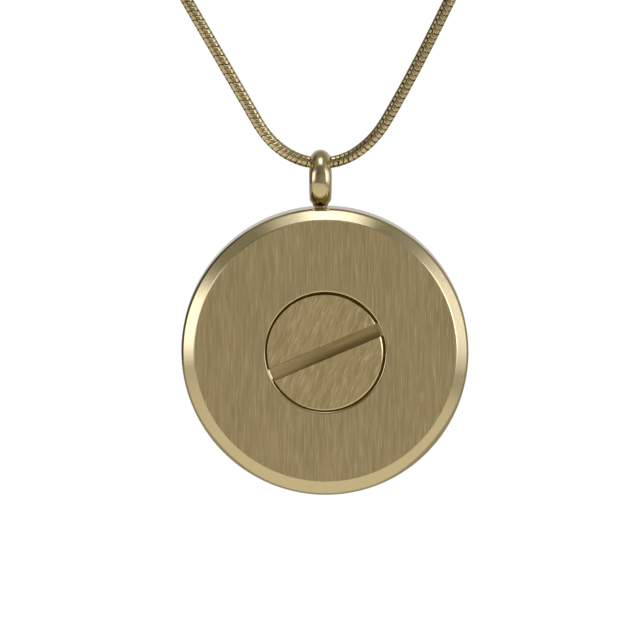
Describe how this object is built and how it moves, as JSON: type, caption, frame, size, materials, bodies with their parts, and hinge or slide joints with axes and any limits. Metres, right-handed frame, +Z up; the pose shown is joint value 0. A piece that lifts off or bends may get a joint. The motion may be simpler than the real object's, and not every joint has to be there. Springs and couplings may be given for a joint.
{
  "type": "round locket on a snake chain",
  "caption": "Round brushed disc locket with a polished bevel, closed by a coin-slot screw plug, hanging from a snake chain.",
  "frame": {"origin": "middle of the clasp, where the chain rests on the nape of the neck", "axes": "+Z up along the hanging necklace, -Y the way the slotted face looks, +X to the viewer's right"},
  "size_m": [0.1234, 0.1232, 0.1933],
  "materials": {
    "chain_metal": "polished gold-tone snake plates",
    "clasp_metal": "polished gold tone",
    "case_metal": "face brushed upright, bevel and bail polished, gold tone",
    "plug_metal": "brushed on a slant, gold tone"
  },
  "bodies": {
    "necklace": {"chain": "chain_metal", "clasp": "clasp_metal"},
    "locket": {"case": "case_metal"},
    "plug": {"plug": "plug_metal"}
  },
  "joints": [
    {"name": "pendant_swing", "type": "hinge", "parent": "necklace", "child": "locket", "pos_m": [0.002, -0.118, -0.15], "axis": [1, 0, 0], "range_deg": [-90, 90]},
    {"name": "plug_lift", "type": "slide", "parent": "locket", "child": "plug", "axis": [0, -1, 0], "range_m": [0, 0.012]}
  ]
}
